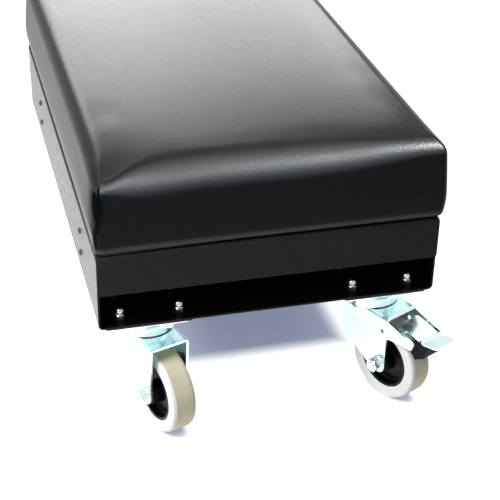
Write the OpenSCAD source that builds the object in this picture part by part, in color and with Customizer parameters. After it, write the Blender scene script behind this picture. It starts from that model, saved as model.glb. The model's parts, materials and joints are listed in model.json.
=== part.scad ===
// Low rolling workshop stool: a padded seat on a folded sheet-metal tray with four swivel castors.
// Frame: +Z up, +Y towards the rear end, origin on the floor below the middle of the seat.
// The front-right and rear-left castors carry a foot brake.

/* [Body] */
// Width of the sheet-metal body
body_w = 350; // [300:5:420]
// Length of the body between its open ends
body_l = 550; // [440:5:700]
// Height of the body from the underside of its floor to the top of the deck
body_h = 84; // [70:1:110]
// Thickness of the body's sheet
sheet_t = 2; // [1.5:0.25:2.5]
// Outside radius of the folds along the body
fold_r = 5.5; // [4:0.5:8]
// Width of the inward flange on top of each side wall
flange_w = 24; // [20:1:32]
// Height of the open slot under each end panel
slot_h = 40; // [24:1:50]
// Outside radius of the fold between the deck and its end panels
deck_fold_r = 4; // [3:0.5:6]
// Radius of the lower corners of the end panels
panel_corner_r = 3; // [1:0.5:8]

/* [Cross walls] */
// Distance of each cross wall from its end of the body
wall_setback = 112; // [90:1:150]
// Width of the side flanges of a cross wall
wall_flange = 18; // [17:1:24]
// Height of the lower row of side screws above the body floor's underside
screw_low = 25; // [18:1:30]
// Spacing of the two rows of side screws
screw_rise = 26; // [20:1:30]
// Shank diameter of a side screw
wall_screw_d = 4; // [3:0.5:5]

/* [Seat] */
// Thickness of the seat board
board_t = 12; // [9:1:18]
// Distance of the board's edge inside the cushion's sides
board_inset = 14; // [10:1:20]
// How far the cushion stands out past the body on every side
overhang = 5; // [2:1:10]
// Gap between the deck and the lower edge of the cushion
cushion_gap = 1; // [0.5:0.5:3]
// Height of the cushion's sides, up to the start of the crown
cushion_side_h = 88; // [60:1:100]
// Rise of the crown in the middle of the cushion
crown_h = 4; // [3:1:16]
// Radius of the upper edge across the cushion's ends, away from the corners
cushion_edge_r = 30; // [20:1:34]
// Radius of the cushion's upper edge along its long sides
cushion_side_edge_r = 20; // [16:1:34]
// Radius of the same edges where the corners pinch them
pinched_edge_r = 10; // [8:0.5:16]
// How much lower the cushion's top is at its corners
corner_drop = 6; // [4:0.5:12]
// Length of each side over which a corner pinches the edge
pinch_reach = 60; // [40:5:80]
// Radius of the upright corners of the cushion
cushion_corner_r = 11; // [9:0.5:16]
// Depth of the sewn fold along each upright corner
pleat_depth = 3; // [1:0.5:4]
// Radius of the rounding along the lower edge of the cushion
cushion_foot_r = 8; // [4:0.5:10]
// How far the cushion's sides swell at half height
side_swell = 2; // [0:0.5:3]
// How far the cushion's top edges pull in between the corners
draw_in = 2; // [0:0.5:4]
// Shank diameter of the screws that hold the seat board
seat_screw_d = 6; // [5:0.5:8]

/* [Castor mounting] */
// Height of a castor from its mounting face to the floor
castor_h = 124; // [116:1:140]
// Length of a castor plate across the body
plate_l = 84; // [80:1:92]
// Width of a castor plate along the body
plate_w = 70; // [66:1:78]
// Thickness of a castor plate
plate_t = 2.5; // [2:0.25:3.5]
// Distance of the bolts across the body
bolt_dx = 60; // [56:0.5:64]
// Distance of the bolts along the body
bolt_dy = 45; // [43:0.5:52]
// Distance of a castor's swivel axis from the side of the body
castor_side = 53.5; // [52:0.5:60]
// Distance of a castor's swivel axis from the end of the body
castor_end = 38; // [37:0.5:50]
// Thickness of the backing pad above a castor plate
pad_t = 2; // [1:0.5:4]
// Bolt diameter
bolt_d = 6; // [5:0.5:6]

/* [Swivel head] */
// Depth from the plate's underside to the top of the fork
head_h = 17; // [15:0.5:20]
// Radius of the pressed swivel dish
dish_r = 30; // [28:0.5:33]
// Radius of the ring of large balls
ball_ring_r = 22; // [20:0.5:23]
// Diameter of a large ball
ball_d = 6; // [5:0.5:6.5]
// Number of large balls
ball_n = 18; // [10:1:18]
// Diameter of the kingpin
kingpin_d = 12; // [10:0.5:13]

/* [Fork] */
// Outside width of the fork
fork_w = 44; // [42:0.5:48]
// Thickness of the fork's steel
fork_t = 2.5; // [2:0.25:3]
// Distance of the axle behind the swivel axis
trail = 37; // [34:1:42]
// Radius of the round bowl at the fork's crown
bowl_r = 28; // [26:0.5:30]
// Depth of the bowl's skirt
bowl_h = 14; // [10:1:20]
// Length of the crown behind the swivel axis
crown_l = 50; // [48:1:54]
// Diameter of the axle bolt
axle_d = 8; // [6:0.5:10]

/* [Wheel] */
// Diameter of the wheel
wheel_d = 88; // [80:1:92]
// Width of the tyre
tyre_w = 26; // [20:1:28]
// Width of the tyre's flat tread
tread_w = 18; // [14:1:19]
// Outside diameter of the wheel's core
core_d = 62; // [54:1:66]
// Outside diameter of the steel bush in the hub
bush_d = 12; // [11:0.5:14]

/* [Brake] */
// Distance of the pedal's pin behind the swivel axis
pin_back = 62; // [60:0.5:64]
// Depth of the pedal's pin below the top of the fork
pin_drop = 14.5; // [13.5:0.5:16]
// Diameter of the pedal's pin
pin_d = 4; // [3:0.5:4.5]
// Width of the brake pedal
pedal_w = 28; // [24:1:31]
// Thickness of the pedal's steel
pedal_t = 2; // [1.5:0.25:2.5]
// Distance of the pedal's front edge behind the swivel axis
pedal_front = 56; // [55:0.5:57]
// Distance of the pedal's ridge behind the swivel axis
pedal_ridge = 88; // [86:0.5:92]
// Distance of the pedal's tip behind the swivel axis
pedal_tip = 110; // [104:1:114]
// Travel of the pedal in degrees
pedal_travel = 8; // [5:0.5:9]

/* [Hidden] */

$fn = 64;
// Small overlap that makes cuts run clean through
cut = 1;
// Clearance of a bolt or screw in its hole, on the radius
hole_gap = 0.2;
// Running clearance of a turning pair, on the radius
run_gap = 0.06;
// Clearance of a piece that sits still in another, on the radius
seat_gap = 0.05;
// Clearance between pieces that move past each other
free_gap = 0.5;

// Which end and side each castor is on, the angle its wheel trails at, and whether it is braked
FL = [-1, -1, -72, false];
FR = [1, -1, -64, true];
RL = [-1, 1, 64, true];
RR = [1, 1, 108, false];
CASTORS = [FL, FR, RL, RR];

// Body heights and half sizes
floor_z = castor_h + pad_t;
wall_h = body_h - sheet_t;
deck_z = floor_z + body_h;
end_y = body_l / 2;
side_x = body_w / 2;
castor_x = side_x - castor_side;
castor_y = end_y - castor_end;

// Seat heights and half sizes
cushion_z = deck_z + cushion_gap;
board_x = side_x + overhang - board_inset;
board_y = end_y + overhang - board_inset;
board_corner_r = 12;
board_gap = 0.3;
seat_screw_x = side_x - flange_w / 2;
seat_screw_rows = [-0.7, 0, 0.7];
seat_screw_grip = 9;

// Castor heights, measured down from the top of the plate
crown_z = -(plate_t + head_h);
axle_z = wheel_d / 2 - castor_h;
dish_t = 2.5;
dish_gap = 1.2;
race_seat = 4;
ball_sunk = 0.14 * ball_d;
ball_z = crown_z + ball_d / 2 - ball_sunk;
small_ball_d = 4;
small_ring_r = 12.5;
small_ball_n = 14;
small_ball_z = crown_z - fork_t - small_ball_d / 2 + 0.15 * small_ball_d;
race_t = 3.2;
race_top = crown_z - fork_t - 0.525 * small_ball_d;
race_r = 17;
race_lip = 1.5;
groove_gap = 0.3;
rivet_head_r = 9.5;
rivet_head_h = 3;

// Fork places, in the castor's own side view
leg_in = fork_w / 2 - fork_t;
leg_front = -19;
leg_knee_z = axle_z + 19;
leg_knee_r = 16;
boss_r = 9.5;
boss_front = trail - 5.5;
leg_back = trail + boss_r + 1;
window_r = 2.5;
window_x = trail + 4;
window_z = crown_z - 18;

// Fastener sizes
nut_af = 10;
nut_hex_h = 6;
nut_h = 13;
dome_r = 0.46 * nut_af;
nut_seat_h = 8;
nut_chamfer = 0.2;
bolt_head_h = 4;
axle_af = 13;
axle_head_h = 5.5;
axle_collar_h = 1.2;
axle_nut_h = 7;
axle_flange_r = 8.8;
axle_flange_t = 1.5;
axle_end = 1.5;
bush_play = 0.2;

// Wheel places, measured from the middle of the wheel
hub_wall = 5;
web_in = 5;
web_out = 3;
core_rim_t = 2.8;
core_rim_in = 1;
tyre_side_in = 1.3;

// Brake places, in the castor's own side view
pin_z = crown_z - pin_drop;
pin_end = 0.5;
pin_rivet_t = 1.2;
ear_end = pin_back + 23;
ear_top = pin_z + 2;
ear_low = pin_z - 6;
pedal_z = crown_z - 4.5;
pedal_fall = 6.2;
ridge_h = 1.5;
ridge_half = 3;
tip_rise = 3.2;
pedal_corner_r = 6;
cheek_from = pin_back - 4.5;
cheek_to = pin_back + 6;
cheek_low = pin_z - 4;
shoe_gap = 0.8;
shoe_from = pin_back + 3.5;
shoe_to = pedal_ridge + 7;
shoe_side = 2.5;

function unit(v) = v / norm(v);
// Points of one rounded corner: an arc that touches both edges at p1
function corner(p0, p1, p2, r, n) =
    let (a = unit(p0 - p1), b = unit(p2 - p1), half = acos(a * b) / 2)
    let (c = p1 + unit(a + b) * r / sin(half), touch = r / tan(half))
    let (s = p1 + a * touch - c, e = p1 + b * touch - c)
    let (from = atan2(s[1], s[0]), turn = atan2(e[1], e[0]) - from)
    let (sweep = turn > 180 ? turn - 360 : turn < -180 ? turn + 360 : turn)
    [for (i = [0:n]) c + r * [cos(from + sweep * i / n), sin(from + sweep * i / n)]];
// Outline from corners given as [x, y, radius]
function outline(pts, n = 8) = [
    for (i = [0:len(pts) - 1])
        let (k = len(pts), p = pts[i], a = pts[(i + k - 1) % k], b = pts[(i + 1) % k])
        each (p[2] == 0 ? [[p[0], p[1]]] : corner([a[0], a[1]], [p[0], p[1]], [b[0], b[1]], p[2], n))
];
// The same corners on the other side of the wheel's middle, in reverse
function mirrored(side) = [for (i = [1:len(side)]) let (c = side[len(side) - i]) [c[0], -c[1], c[2]]];
// Turn of a point about a centre
function turned(p, c, a) =
    let (v = p - c)
    c + [v[0] * cos(a) - v[1] * sin(a), v[0] * sin(a) + v[1] * cos(a)];

// Rectangle with round corners, centred across and standing on the axis
module round_rect(w, h, r) {
    translate([-w / 2 + r, 0])
        square([w - 2 * r, h]);
    translate([-w / 2, r])
        square([w, h - 2 * r]);
    for (x = [-1, 1], y = [r, h - r])
        translate([x * (w / 2 - r), y])
            circle(r);
}

// Flat plate with round corners, its top at z = 0
module round_plate(l, w, t, r) {
    translate([0, -w / 2, -t])
        linear_extrude(t)
            round_rect(l, w, r);
}

// Extrudes a side-view outline to a width across the y axis
module across(w) {
    rotate([90, 0, 0])
        linear_extrude(w, center = true)
            children();
}

module at_mount(c) {
    translate([c[0] * castor_x, c[1] * castor_y, castor_h])
        children();
}

module at_castor(c) {
    at_mount(c)
        rotate([0, 0, c[2]])
            children();
}

module at_axle(c) {
    at_castor(c)
        translate([trail, 0, axle_z])
            rotate([-90, 0, 0])
                children();
}

module bolt_places() {
    for (x = [-1, 1], y = [-1, 1])
        translate([x * bolt_dx / 2, y * bolt_dy / 2, 0])
            children();
}

// Body

module body_shell() {
    color([0.05, 0.05, 0.055])
        difference() {
            translate([0, 0, floor_z])
                across(body_l)
                    difference() {
                        round_rect(body_w, wall_h, fold_r);
                        translate([0, sheet_t])
                            round_rect(body_w - 2 * sheet_t, wall_h - 2 * sheet_t, fold_r - sheet_t);
                        translate([flange_w - side_x, wall_h / 2])
                            square([body_w - 2 * flange_w, wall_h]);
                    }
            for (c = CASTORS)
                translate([0, 0, pad_t])
                    at_mount(c)
                        bolt_places()
                            translate([0, 0, -cut])
                                cylinder(r = bolt_d / 2 + hole_gap, h = sheet_t + 2 * cut);
            seat_screw_places(floor_z + wall_h - sheet_t - cut)
                cylinder(r = seat_screw_d / 2 + hole_gap, h = sheet_t + 2 * cut);
            wall_screw_places()
                translate([0, 0, -cut])
                    cylinder(r = wall_screw_d / 2 + hole_gap, h = sheet_t + 2 * cut);
            // Relief at each end for the fold of the deck
            for (s = [-1, 1])
                translate([-body_w, s * end_y - deck_fold_r, floor_z + wall_h - deck_fold_r])
                    cube([2 * body_w, 2 * deck_fold_r, 2 * deck_fold_r]);
        }
}

module deck() {
    panel_h = body_h - slot_h;
    color([0.13, 0.13, 0.14])
        difference() {
            intersection() {
                translate([0, 0, floor_z + slot_h])
                    rotate([0, 0, 90])
                        across(body_w)
                            difference() {
                                translate([0, -panel_h])
                                    round_rect(body_l + 2 * sheet_t, 2 * panel_h, deck_fold_r);
                                translate([0, -panel_h])
                                    round_rect(body_l, 2 * panel_h - sheet_t, deck_fold_r - sheet_t);
                                translate([-body_l, -2 * panel_h])
                                    square([2 * body_l, 2 * panel_h]);
                            }
                translate([0, 0, floor_z + slot_h])
                    across(2 * body_l)
                        round_rect(body_w, 2 * panel_h, panel_corner_r);
            }
            seat_screw_places(deck_z - sheet_t - cut)
                cylinder(r = seat_screw_d / 2 + hole_gap, h = sheet_t + 2 * cut);
        }
}

// Side flanges of a cross wall point to the near end of the body
module cross_wall(s) {
    w = body_w - 2 * sheet_t;
    h = wall_h - 2 * sheet_t - 2 * free_gap;
    wall_y = end_y - wall_setback + wall_flange / 2 - 1;
    inner_r = fold_r - sheet_t;
    color([0.07, 0.07, 0.075])
        rotate([0, 0, s > 0 ? 0 : 180])
            difference() {
                translate([0, wall_y, floor_z + sheet_t])
                    linear_extrude(h + free_gap)
                        difference() {
                            translate([0, -wall_flange])
                                round_rect(w, 2 * wall_flange, fold_r);
                            translate([0, sheet_t - wall_flange])
                                round_rect(w - 2 * sheet_t, 2 * wall_flange, fold_r - sheet_t);
                            translate([-w, 0])
                                square([2 * w, 2 * wall_flange]);
                        }
                // Corners stay clear of the body's folds
                for (x = [-1, 1], z = [floor_z + sheet_t, floor_z + wall_h - sheet_t])
                    translate([x * w / 2, wall_y, z])
                        cube([4 * inner_r, 3 * wall_flange, 2 * inner_r], center = true);
                wall_screw_places()
                    translate([0, 0, -3 * sheet_t])
                        cylinder(r = wall_screw_d / 2 + hole_gap, h = 5 * sheet_t);
            }
}

// Side screws: the axis runs out through the wall, and z = 0 is the wall's inner face
module wall_screw_places() {
    for (x = [-1, 1], y = [-1, 1], z = [screw_low, screw_low + screw_rise])
        translate([x * (side_x - sheet_t), y * (end_y - wall_setback), floor_z + z])
            rotate([0, x * 90, 0])
                children();
}

module wall_screws() {
    r = wall_screw_d / 2;
    color([0.1, 0.1, 0.1])
        wall_screw_places() {
            translate([0, 0, -2 * sheet_t - 3])
                cylinder(r = r, h = 3 * sheet_t + 3);
            translate([0, 0, sheet_t])
                intersection() {
                    cylinder(r = 1.9 * r, h = 1.1 * r);
                    translate([0, 0, -1.3 * r])
                        sphere(2.4 * r);
                }
        }
}

module wall_nuts() {
    r = wall_screw_d / 2;
    color([0.75, 0.76, 0.78])
        wall_screw_places()
            translate([0, 0, -sheet_t - 1.6 * r])
                difference() {
                    cylinder(r = 2 * r, h = 1.6 * r, $fn = 6);
                    translate([0, 0, -cut])
                        cylinder(r = r + seat_gap, h = 1.6 * r + 2 * cut);
                }
}

// Seat

module seat_screw_places(z) {
    for (x = [-1, 1], row = seat_screw_rows)
        translate([x * seat_screw_x, row * end_y, z])
            children();
}

module seat_board() {
    color([0.45, 0.33, 0.2])
        difference() {
            translate([0, 0, deck_z + board_t])
                round_plate(2 * board_x, 2 * board_y, board_t, board_corner_r);
            seat_screw_places(deck_z - cut)
                cylinder(r = seat_screw_d / 2 + seat_gap, h = seat_screw_grip + 0.5 + cut);
        }
}

module seat_screws() {
    head_z = deck_z - 2 * sheet_t;
    r = seat_screw_d / 2;
    color([0.72, 0.73, 0.75])
        seat_screw_places(head_z) {
            translate([0, 0, -cut])
                cylinder(r = r, h = 2 * sheet_t + seat_screw_grip + cut);
            translate([0, 0, -1.3 * r])
                cylinder(r = 1.9 * r, h = 1.3 * r, $fn = 6);
            translate([0, 0, -0.4 * r])
                cylinder(r = 2.3 * r, h = 0.4 * r);
        }
}

// How strongly a corner pinches the edge, at a distance along the side
function pinch(d) = d >= pinch_reach ? 0 : pow(cos(90 * d / pinch_reach), 2);

// Plan points round the cushion: [x, y, outward x, outward y, pinch, bow of the side, pleat]
function plan_points(hx, hy, r, arc_n = 4, side_n = 9) = [
    for (q = [0:3])
        let (corner_x = (q == 0 || q == 3 ? 1 : -1) * (hx - r), corner_y = (q < 2 ? 1 : -1) * (hy - r))
        let (next_x = (q > 1 ? 1 : -1) * (hx - r), next_y = (q == 0 || q == 3 ? 1 : -1) * (hy - r))
        let (out = [cos(90 * (q + 1)), sin(90 * (q + 1))])
        let (from = [corner_x, corner_y] + r * out, to = [next_x, next_y] + r * out, side = norm(to - from))
        each [
            for (i = [0:arc_n])
                let (a = 90 * (q + i / arc_n), d = [cos(a), sin(a)])
                [corner_x + r * d[0], corner_y + r * d[1], d[0], d[1], 1, 0, i == arc_n / 2 ? 1 : 0],
            for (i = [1:side_n])
                let (s = (1 - cos(180 * i / (side_n + 1))) / 2, p = from + (to - from) * s)
                [p[0], p[1], out[0], out[1], pinch(min(s, 1 - s) * side), sin(180 * s), 0]
        ]
];

// Side of the cushion from its foot to its edge, as [inset, height] at one plan point
function side_level(p, h, level) =
    let (free_r = cushion_side_edge_r * abs(p[2]) + cushion_edge_r * abs(p[3]))
    let (er = free_r + (pinched_edge_r - free_r) * p[4], top = h - corner_drop * p[4])
    level < 3
        ? let (a = 45 * level)
            [cushion_foot_r * (1 - sin(a)), cushion_foot_r * (1 - cos(a))]
        : level < 5
            ? let (t = (level - 2) / 3)
                [pleat_depth * p[6] * min(1, 1.5 * t) - side_swell * sin(180 * t), h * (0.1 + 0.55 * t)]
            : let (a = 90 * (level - 5) / 5)
                [er * (1 - cos(a)) + draw_in * p[5] * sin(a) + pleat_depth * p[6], top - er + er * sin(a)];

module cushion() {
    hx = side_x + overhang - side_swell;
    hy = end_y + overhang - side_swell;
    h = cushion_side_h;
    flat_x = hx - cushion_corner_r;
    flat_y = hy - cushion_corner_r;
    plan = plan_points(hx, hy, cushion_corner_r);
    crown_steps = [0.06, 0.15, 0.32, 0.55, 0.8];
    sides = [
        for (level = [0:10])
            [for (p = plan) let (l = side_level(p, h, level)) [p[0] - l[0] * p[2], p[1] - l[0] * p[3], l[1]]]
    ];
    edge = sides[10];
    crown = [
        for (s = crown_steps)
            [
                for (i = [0:len(plan) - 1])
                    let (u = min(1, abs(plan[i][0]) / flat_x), v = min(1, abs(plan[i][1]) / flat_y))
                    let (rise = crown_h * cos(90 * u * (1 - s)) * cos(90 * v * (1 - s)))
                    let (drop = corner_drop * plan[i][4] * pow(1 - s, 8))
                    [edge[i][0] * (1 - s), edge[i][1] * (1 - s), h - drop + rise]
            ]
    ];
    rings = concat(sides, crown);
    n = len(plan);
    k = len(rings);
    points = concat([for (r = rings) each r], [[0, 0, 0], [0, 0, h + crown_h]]);
    walls = [
        for (j = [0:k - 2], i = [0:n - 1])
            let (a = j * n + i, b = j * n + (i + 1) % n)
            each [[a, a + n, b], [b, a + n, b + n]]
    ];
    bottom = [for (i = [0:n - 1]) [i, (i + 1) % n, k * n]];
    top = [for (i = [0:n - 1]) [(k - 1) * n + (i + 1) % n, (k - 1) * n + i, k * n + 1]];
    color([0.09, 0.09, 0.095])
        difference() {
            translate([0, 0, cushion_z])
                polyhedron(points, concat(walls, bottom, top), convexity = 4);
            // Pocket for the seat board
            translate([0, 0, deck_z + board_t + board_gap])
                round_plate(
                    2 * (board_x + board_gap), 2 * (board_y + board_gap),
                    board_t + board_gap, board_corner_r, $fn = 24
                );
        }
}

// Castor mounting

module castor_pads() {
    inner_x = castor_x - plate_l / 2;
    outer_x = side_x - fold_r - 1;
    front_y = castor_y - plate_w / 2 - 2;
    color([0.09, 0.09, 0.09])
        for (c = CASTORS)
            translate([c[0] * (inner_x + outer_x) / 2, c[1] * (front_y + end_y - 0.5) / 2, floor_z])
                difference() {
                    round_plate(outer_x - inner_x, end_y - 0.5 - front_y, pad_t, 4);
                    translate([
                        c[0] * (castor_x - (inner_x + outer_x) / 2),
                        c[1] * (castor_y - (front_y + end_y - 0.5) / 2),
                        -pad_t - cut
                    ])
                        bolt_places()
                            cylinder(r = bolt_d / 2 + hole_gap, h = pad_t + 2 * cut);
                }
}

module castor_bolts() {
    stack = plate_t + pad_t + sheet_t;
    color([0.75, 0.76, 0.78])
        for (c = CASTORS)
            at_mount(c)
                bolt_places()
                    translate([0, 0, -plate_t]) {
                        cylinder(r = bolt_d / 2, h = stack + nut_hex_h);
                        translate([0, 0, -bolt_head_h])
                            cylinder(r = nut_af / 2 / cos(30), h = bolt_head_h, $fn = 6);
                    }
}

// Domed cap nuts on the floor of the tray
module castor_nuts() {
    color([0.8, 0.81, 0.83])
        for (c = CASTORS)
            translate([0, 0, pad_t + sheet_t])
                at_mount(c)
                    bolt_places()
                        difference() {
                            union() {
                                intersection() {
                                    cylinder(r = nut_af / 2 / cos(30), h = nut_hex_h, $fn = 6);
                                    cylinder(r1 = nut_af, r2 = nut_af / 2 - nut_chamfer, h = nut_hex_h);
                                }
                                cylinder(r = dome_r, h = nut_h - dome_r);
                                translate([0, 0, nut_h - dome_r])
                                    sphere(dome_r);
                            }
                            translate([0, 0, -cut])
                                cylinder(r = bolt_d / 2 + seat_gap, h = nut_seat_h + cut);
                        }
}

module mount_plate() {
    pin_r = kingpin_d / 2 + seat_gap;
    color([0.8, 0.82, 0.84])
        difference() {
            round_plate(plate_l, plate_w, plate_t, 7);
            translate([0, 0, -plate_t - cut])
                bolt_places()
                    cylinder(r = bolt_d / 2 + hole_gap, h = plate_t + 2 * cut);
            translate([0, 0, -plate_t - cut])
                cylinder(r = pin_r, h = plate_t + 2 * cut);
            translate([0, 0, -plate_t])
                cylinder(r1 = pin_r, r2 = pin_r + plate_t, h = plate_t);
        }
}

// Swivel head

module upper_race() {
    top = -plate_t;
    seat = crown_z + race_seat;
    rim = crown_z + dish_gap;
    bore = kingpin_d / 2 + seat_gap;
    color([0.8, 0.82, 0.84])
        rotate_extrude($fn = 96)
            difference() {
                polygon(outline([
                    [bore, top, 0],
                    [0.7 * dish_r, top, 0],
                    [0.77 * dish_r, top - 1.6 * dish_t, 3],
                    [0.97 * dish_r, (top + rim) / 2, 4],
                    [dish_r, rim, 0],
                    [dish_r - dish_t, rim, 0],
                    [dish_r - dish_t, seat, 0.8],
                    [bore, seat, 0]
                ]));
                translate([ball_ring_r, ball_z])
                    circle(ball_d / 2 + groove_gap);
            }
}

// Flush kingpins, riveted over below the lower race
module kingpins() {
    r = kingpin_d / 2;
    foot = race_top - race_t;
    color([0.72, 0.74, 0.76])
        for (c = CASTORS)
            at_mount(c) {
                translate([0, 0, foot - cut])
                    cylinder(r = r, h = -foot + cut);
                translate([0, 0, -plate_t])
                    cylinder(r1 = r, r2 = r + plate_t, h = plate_t);
                translate([0, 0, foot - rivet_head_h])
                    cylinder(r1 = rivet_head_r - rivet_head_h / 2, r2 = rivet_head_r, h = rivet_head_h);
            }
}

module lower_race() {
    foot = race_top - race_t;
    bore = kingpin_d / 2 + seat_gap;
    lip = crown_z - fork_t - free_gap;
    color([0.78, 0.8, 0.82])
        rotate_extrude($fn = 96)
            difference() {
                polygon(outline([
                    [bore, foot, 0],
                    [race_r, foot, race_lip],
                    [race_r, lip, 0],
                    [race_r - race_lip, lip, 0],
                    [race_r - race_lip, race_top, 0.5],
                    [bore, race_top, 0]
                ]));
                translate([small_ring_r, small_ball_z])
                    circle(small_ball_d / 2 + groove_gap);
            }
}

module balls() {
    color([0.85, 0.86, 0.88]) {
        for (i = [0:ball_n - 1])
            rotate([0, 0, 360 * i / ball_n])
                translate([ball_ring_r, 0, ball_z])
                    sphere(ball_d / 2, $fn = 24);
        for (i = [0:small_ball_n - 1])
            rotate([0, 0, 360 * i / small_ball_n])
                translate([small_ring_r, 0, small_ball_z])
                    sphere(small_ball_d / 2, $fn = 24);
    }
}

// Fork

// Side view of a leg: an upright leading edge, a slanting lower edge and a round axle boss
function leg_outline(top) = [
    [leg_front, top, 0],
    [leg_front, leg_knee_z, leg_knee_r],
    [boss_front, axle_z - boss_r, 6],
    [leg_back, axle_z - boss_r, boss_r - 0.2]
];

// The braked fork's legs carry an ear on each side for the pedal
function brake_outline(top) = concat(leg_outline(top), [
    [leg_back, ear_low - 3, 5],
    [ear_end - 2, ear_low, 3.5],
    [ear_end, ear_top, 3],
    [crown_l - 2, crown_z - 3, 8],
    [crown_l - 6, top, 0]
]);

function plain_outline(top) = concat(leg_outline(top), [[crown_l, top, 0]]);

module fork(braked) {
    fold = 4;
    skirt = crown_z - bowl_h;
    reach = crown_z - axle_z + 2 * boss_r;
    top = crown_z + cut;
    color([0.82, 0.84, 0.86])
        difference() {
            intersection() {
                union() {
                    // Round bowl over the swivel
                    rotate_extrude($fn = 96)
                        polygon(outline([
                            [0, crown_z, 0],
                            [bowl_r, crown_z, fold],
                            [bowl_r, skirt, 0],
                            [bowl_r - fork_t, skirt, 0],
                            [bowl_r - fork_t, crown_z - fork_t, fold - fork_t],
                            [0, crown_z - fork_t, 0]
                        ]));
                    // Folded channel with both legs
                    translate([0, 0, crown_z - reach])
                        rotate([90, 0, 90])
                            difference() {
                                linear_extrude(2 * ear_end, center = true)
                                    round_rect(fork_w, reach, fold);
                                linear_extrude(3 * ear_end, center = true) {
                                    translate([0, -fork_t])
                                        round_rect(fork_w - 2 * fork_t, reach, fold - fork_t);
                                }
                                // The web stops at the bowl in front and at the lip behind
                                translate([0, 0, crown_l])
                                    linear_extrude(2 * ear_end)
                                        translate([-leg_in, 0])
                                            square([2 * leg_in, 2 * reach]);
                            }
                }
                union() {
                    across(2 * bowl_r + cut)
                        polygon(outline(braked ? brake_outline(top) : plain_outline(top)));
                    translate([0, 0, skirt])
                        cylinder(r = bowl_r + cut, h = bowl_h + cut);
                }
            }
            // The bowl opens into the channel behind
            translate([0, -leg_in, skirt - cut])
                cube([ear_end, 2 * leg_in, bowl_h - fork_t + cut]);
            // Kingpin bore and the two ball grooves
            translate([0, 0, crown_z - 2 * fork_t])
                cylinder(r = kingpin_d / 2 + run_gap, h = 4 * fork_t);
            rotate_extrude($fn = 96)
                translate([ball_ring_r, ball_z])
                    circle(ball_d / 2 + seat_gap);
            rotate_extrude($fn = 96)
                translate([small_ring_r, small_ball_z])
                    circle(small_ball_d / 2 + seat_gap);
            // Axle holes, and the round holes above the wheel of a braked fork
            translate([trail, 0, axle_z])
                rotate([90, 0, 0])
                    cylinder(r = axle_d / 2 + hole_gap, h = 2 * fork_w, center = true);
            if (braked)
                translate([window_x, 0, window_z])
                    rotate([90, 0, 0])
                        cylinder(r = window_r, h = 2 * fork_w, center = true);
            if (braked)
                translate([pin_back, 0, pin_z])
                    rotate([90, 0, 0])
                        cylinder(r = pin_d / 2 + seat_gap, h = 2 * fork_w, center = true);
        }
}

// Axle pieces: the axis is z, and z = 0 is the middle of the wheel

module axle_bolt() {
    half = fork_w / 2;
    thread = axle_flange_t + axle_nut_h + axle_end;
    color([0.76, 0.78, 0.8]) {
        translate([0, 0, -half - thread])
            cylinder(r = axle_d / 2, h = fork_w + thread);
        translate([0, 0, half])
            cylinder(r = axle_flange_r, h = axle_collar_h);
        translate([0, 0, half])
            cylinder(r = axle_af / 2 / cos(30), h = axle_head_h, $fn = 6);
    }
}

module axle_nut() {
    half = fork_w / 2;
    color([0.76, 0.78, 0.8])
        translate([0, 0, -half])
            difference() {
                union() {
                    translate([0, 0, -axle_flange_t])
                        cylinder(r = axle_flange_r, h = axle_flange_t);
                    translate([0, 0, -axle_flange_t - axle_nut_h])
                        intersection() {
                            cylinder(r = axle_af / 2 / cos(30), h = axle_nut_h, $fn = 6);
                            cylinder(
                                r1 = axle_af / 2 - nut_chamfer,
                                r2 = axle_af / 2 + axle_nut_h,
                                h = axle_nut_h
                            );
                        }
                }
                translate([0, 0, -2 * axle_nut_h])
                    cylinder(r = axle_d / 2 + seat_gap, h = 3 * axle_nut_h);
            }
}

module axle_bush() {
    color([0.7, 0.71, 0.73])
        difference() {
            cylinder(r = bush_d / 2, h = 2 * leg_in - bush_play, center = true);
            cylinder(r = axle_d / 2 + seat_gap, h = 2 * fork_w, center = true);
        }
}

// Wheel

module wheel_core() {
    bore = bush_d / 2 + run_gap;
    hub_r = bore + hub_wall;
    hub = leg_in - free_gap;
    rim = tyre_w / 2 - core_rim_in;
    core_r = core_d / 2;
    side = [
        [core_r, rim, 0],
        [core_r - core_rim_t, rim, 0.8],
        [core_r - 1.4 * core_rim_t, web_out, 2],
        [hub_r + 1, web_in, 2],
        [hub_r, hub, 1],
        [bore, hub, 0]
    ];
    color([0.04, 0.04, 0.045])
        rotate_extrude($fn = 96)
            polygon(outline(concat(mirrored(side), side), 5));
}

module tyre() {
    r = wheel_d / 2;
    seat = core_d / 2 + seat_gap;
    half = tyre_w / 2;
    side = [
        [r, tread_w / 2, 0.5],
        [r - tyre_side_in / 3, tread_w / 2 + 2, 1.5],
        [r - tyre_side_in, half, 1.5],
        [seat + 1.5, half, 1],
        [seat, half - 1, 0]
    ];
    color([0.72, 0.7, 0.64])
        rotate_extrude($fn = 96)
            polygon(outline(concat(mirrored(side), side), 6));
}

// Brake, in the castor's own side view: x runs back from the swivel axis

// Upper line of the pedal: plate, ridge and tongue
pedal_path = [
    [pedal_front, pedal_z],
    [pedal_ridge - ridge_half, pedal_z - pedal_fall],
    [pedal_ridge, pedal_z - pedal_fall + ridge_h],
    [pedal_ridge + ridge_half, pedal_z - pedal_fall],
    [pedal_tip, pedal_z - pedal_fall + tip_rise]
];

// Points below a path, a sheet's thickness away
function below(path, t) = [
    for (i = [0:len(path) - 1])
        let (a = unit(path[min(i + 1, len(path) - 1)] - path[min(i, len(path) - 2)]))
        let (b = unit(path[max(i, 1)] - path[max(i - 1, 0)]))
        let (m = unit([a[1] + b[1], -a[0] - b[0]]))
        path[i] + m * t / max(0.5, m * [a[1], -a[0]])
];

function reversed(v) = [for (i = [1:len(v)]) v[len(v) - i]];

// Height of a line through two points at a place
function height_at(a, b, x) = a[1] + (b[1] - a[1]) * (x - a[0]) / (b[0] - a[0]);

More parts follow.
